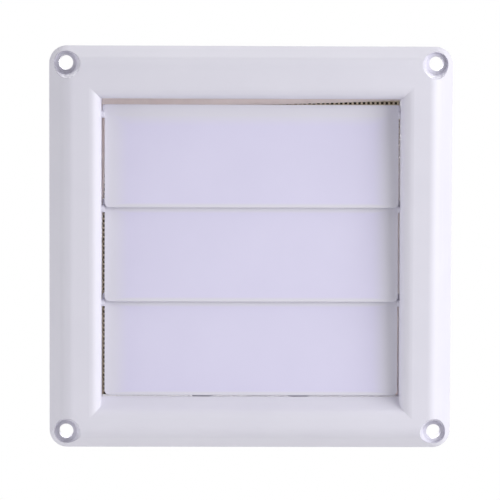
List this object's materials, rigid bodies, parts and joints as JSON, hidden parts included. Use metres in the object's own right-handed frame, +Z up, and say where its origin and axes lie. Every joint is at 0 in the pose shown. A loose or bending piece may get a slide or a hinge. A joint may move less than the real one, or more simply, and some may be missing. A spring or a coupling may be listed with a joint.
{
  "type": "ventilation grille",
  "caption": "Square wall ventilation grille: a rounded bolster frame with corner screw holes, hanging gravity flaps with lapping lips, and an insect screen behind them.",
  "frame": {"origin": "centre of the wall plane, midway between the four screw holes", "axes": "+X right and +Z up as seen from the front, +Y into the wall, so the front faces -Y"},
  "size_m": [0.15, 0.015, 0.15],
  "materials": {
    "frame_plastic": "moulded white ABS, satin",
    "flap_plastic": "moulded white ABS, fine matt",
    "screen_wire": "woven galvanised wire, dull"
  },
  "bodies": {
    "grille_frame": {"frame": "frame_plastic", "insect_screen": "screen_wire"},
    "top_flap": {"flap_top": "flap_plastic"},
    "middle_flap": {"flap_middle": "flap_plastic"},
    "bottom_flap": {"flap_bottom": "flap_plastic"}
  },
  "joints": [
    {"name": "top_flap_swing", "type": "hinge", "parent": "grille_frame", "child": "top_flap", "pos_m": [0, -0.0056, 0.0496], "axis": [-1, 0, 0], "range_deg": [0, 80]},
    {"name": "middle_flap_swing", "type": "hinge", "parent": "grille_frame", "child": "middle_flap", "pos_m": [0, -0.0056, 0.01453], "axis": [-1, 0, 0], "range_deg": [0, 80]},
    {"name": "bottom_flap_swing", "type": "hinge", "parent": "grille_frame", "child": "bottom_flap", "pos_m": [0, -0.0056, -0.02053], "axis": [-1, 0, 0], "range_deg": [0, 80]}
  ]
}
